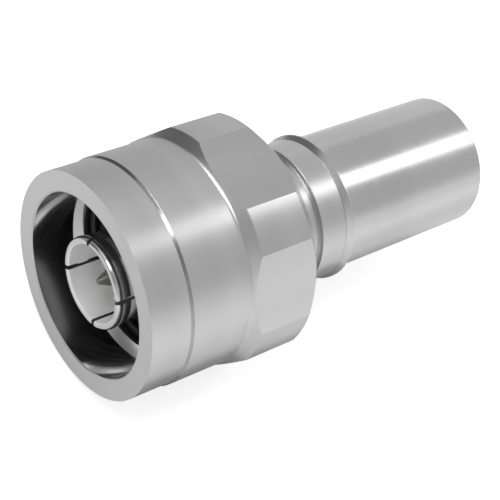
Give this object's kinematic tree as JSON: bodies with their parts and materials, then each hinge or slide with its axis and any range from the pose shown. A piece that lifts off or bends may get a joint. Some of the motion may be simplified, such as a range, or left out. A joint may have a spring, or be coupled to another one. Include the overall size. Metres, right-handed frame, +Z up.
{
  "type": "n type coaxial plug",
  "caption": "Straight coaxial cable plug with a hexagon coupling nut, a slotted outer contact round a centre pin, and a crimp ferrule on a ribbed stem.",
  "frame": {"origin": "on the plug's axis, in the plane where the coupling thread begins", "axes": "+X along the axis towards the cable, +Z up, normal to one flat of the hexagon; the plug lies on the opposite flat"},
  "size_m": [0.041, 0.022, 0.0208],
  "materials": {
    "white_bronze_plate": "brass, turned and plated in satin white bronze",
    "white_bronze_contact": "brass, plated in bright white bronze",
    "nickel_plate": "soft copper alloy, satin nickel plate",
    "spring_bronze": "phosphor bronze strip",
    "silver_plate": "brass, silver plate",
    "silicone_rubber": "black silicone, die cut",
    "ptfe": "turned PTFE"
  },
  "bodies": {
    "plug": {"connector_body": "white_bronze_plate", "outer_contact": "white_bronze_contact", "insulator": "ptfe", "centre_contact": "silver_plate", "gasket": "silicone_rubber", "retaining_ring": "spring_bronze"},
    "nut": {"coupling_nut": "white_bronze_plate"},
    "ferrule": {"crimp_ferrule": "nickel_plate"}
  },
  "joints": [
    {"name": "nut_turn", "type": "hinge", "parent": "plug", "child": "nut", "pos_m": [0.0107, 0, 0], "axis": [1, 0, 0], "continuous": true},
    {"name": "ferrule_slide", "type": "slide", "parent": "plug", "child": "ferrule", "axis": [1, 0, 0], "range_m": [0, 0.02]}
  ]
}
